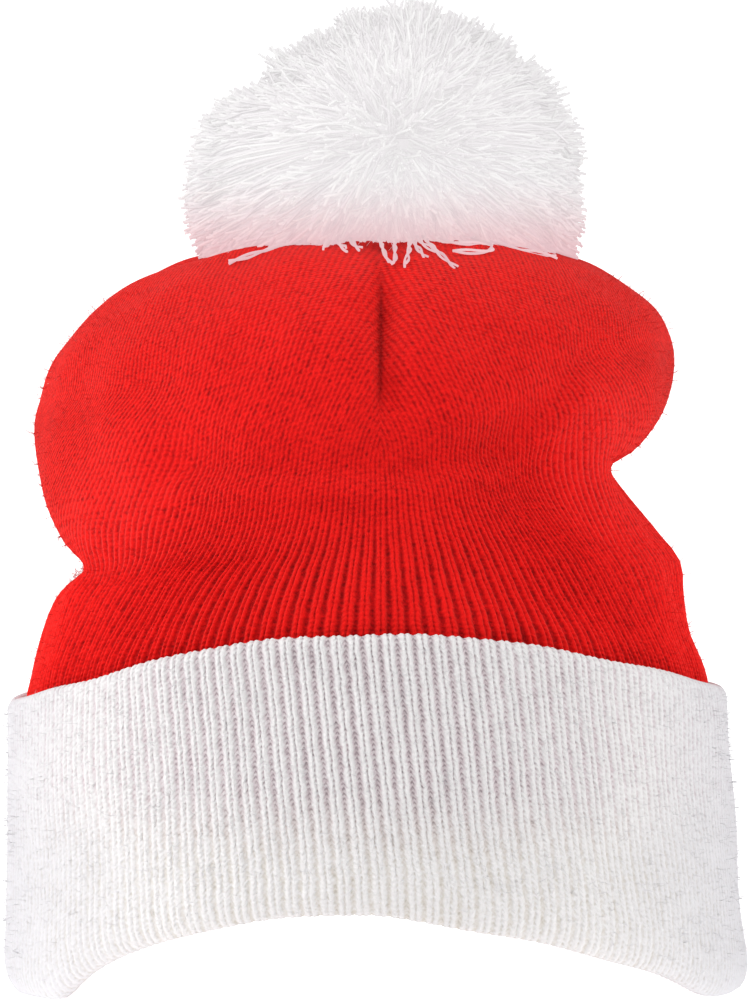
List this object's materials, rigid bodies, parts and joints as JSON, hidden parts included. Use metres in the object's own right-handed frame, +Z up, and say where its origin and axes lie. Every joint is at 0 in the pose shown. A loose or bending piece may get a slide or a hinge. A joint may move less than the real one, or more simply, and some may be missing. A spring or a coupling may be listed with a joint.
{
  "type": "knitted bobble hat in santa colours",
  "caption": "Rib-knit winter hat shown in worn form: a baggy red crown gathered by sewn darts, a white turned-up cuff and a white yarn pompom on top.",
  "frame": {"origin": "middle of the hat's box at its bottom, on the surface that the two sides of the cuff rest on", "axes": "+Z up towards the pompom, -Y the front of the hat, +X to the right when seen from the front"},
  "size_m": [0.174, 0.1984, 0.2322],
  "materials": {
    "red_knit": "brushed acrylic rib knit, matt",
    "white_knit": "brushed acrylic rib knit, matt",
    "white_yarn": "loose cut acrylic yarn, matt"
  },
  "bodies": {
    "root": {"crown": "red_knit", "cuff": "white_knit", "pompom": "white_yarn"}
  },
  "joints": []
}
